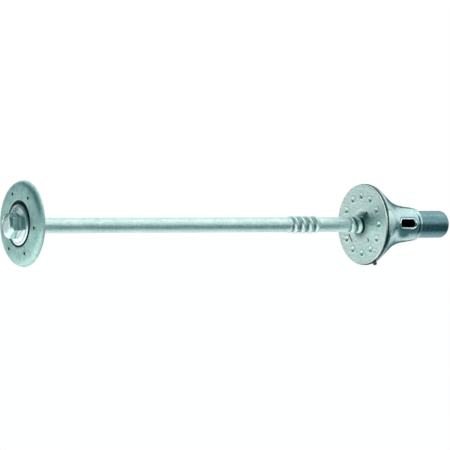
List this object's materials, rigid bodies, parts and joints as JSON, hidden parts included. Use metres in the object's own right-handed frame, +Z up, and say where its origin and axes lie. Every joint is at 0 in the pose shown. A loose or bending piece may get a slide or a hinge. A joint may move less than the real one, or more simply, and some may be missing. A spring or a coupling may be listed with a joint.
{
  "type": "through bolt",
  "caption": "Long through bolt with a hex head, a dished washer plate and a flared far-side anchor that is drawn along its coil thread.",
  "frame": {"origin": "on the surface that the bolt lies on, under the middle of its whole length", "axes": "+X along the bolt from its head to the closed end of the barrel, +Z up"},
  "size_m": [0.3398, 0.0544, 0.0549],
  "materials": {
    "bolt_steel": "galvanised, lightly mottled",
    "washer_steel": "zinc plated",
    "seal_rubber": "matt",
    "plate_steel": "dull galvanised",
    "face_steel": "galvanised, mottled",
    "sleeve_steel": "zinc plated, satin",
    "barrel_steel": "dark coated, satin"
  },
  "bodies": {
    "near_side": {"head_plate": "plate_steel", "washer_seal": "seal_rubber", "head_washer": "washer_steel"},
    "bolt": {"through_bolt": "bolt_steel"},
    "far_anchor": {"face_plate": "face_steel", "flared_sleeve": "sleeve_steel", "end_barrel": "barrel_steel"}
  },
  "joints": [
    {"name": "bolt_turn", "type": "hinge", "parent": "near_side", "child": "bolt", "pos_m": [0, 0, 0.0272], "axis": [1, 0, 0], "range_deg": [-362, 722]},
    {"name": "anchor_draw", "type": "slide", "parent": "near_side", "child": "far_anchor", "axis": [1, 0, 0], "range_m": [-0.0116, 0.0058]}
  ],
  "couplings": [
    {"joint": "bolt_turn", "follows": "anchor_draw", "rad_per_m": -1083.3}
  ]
}
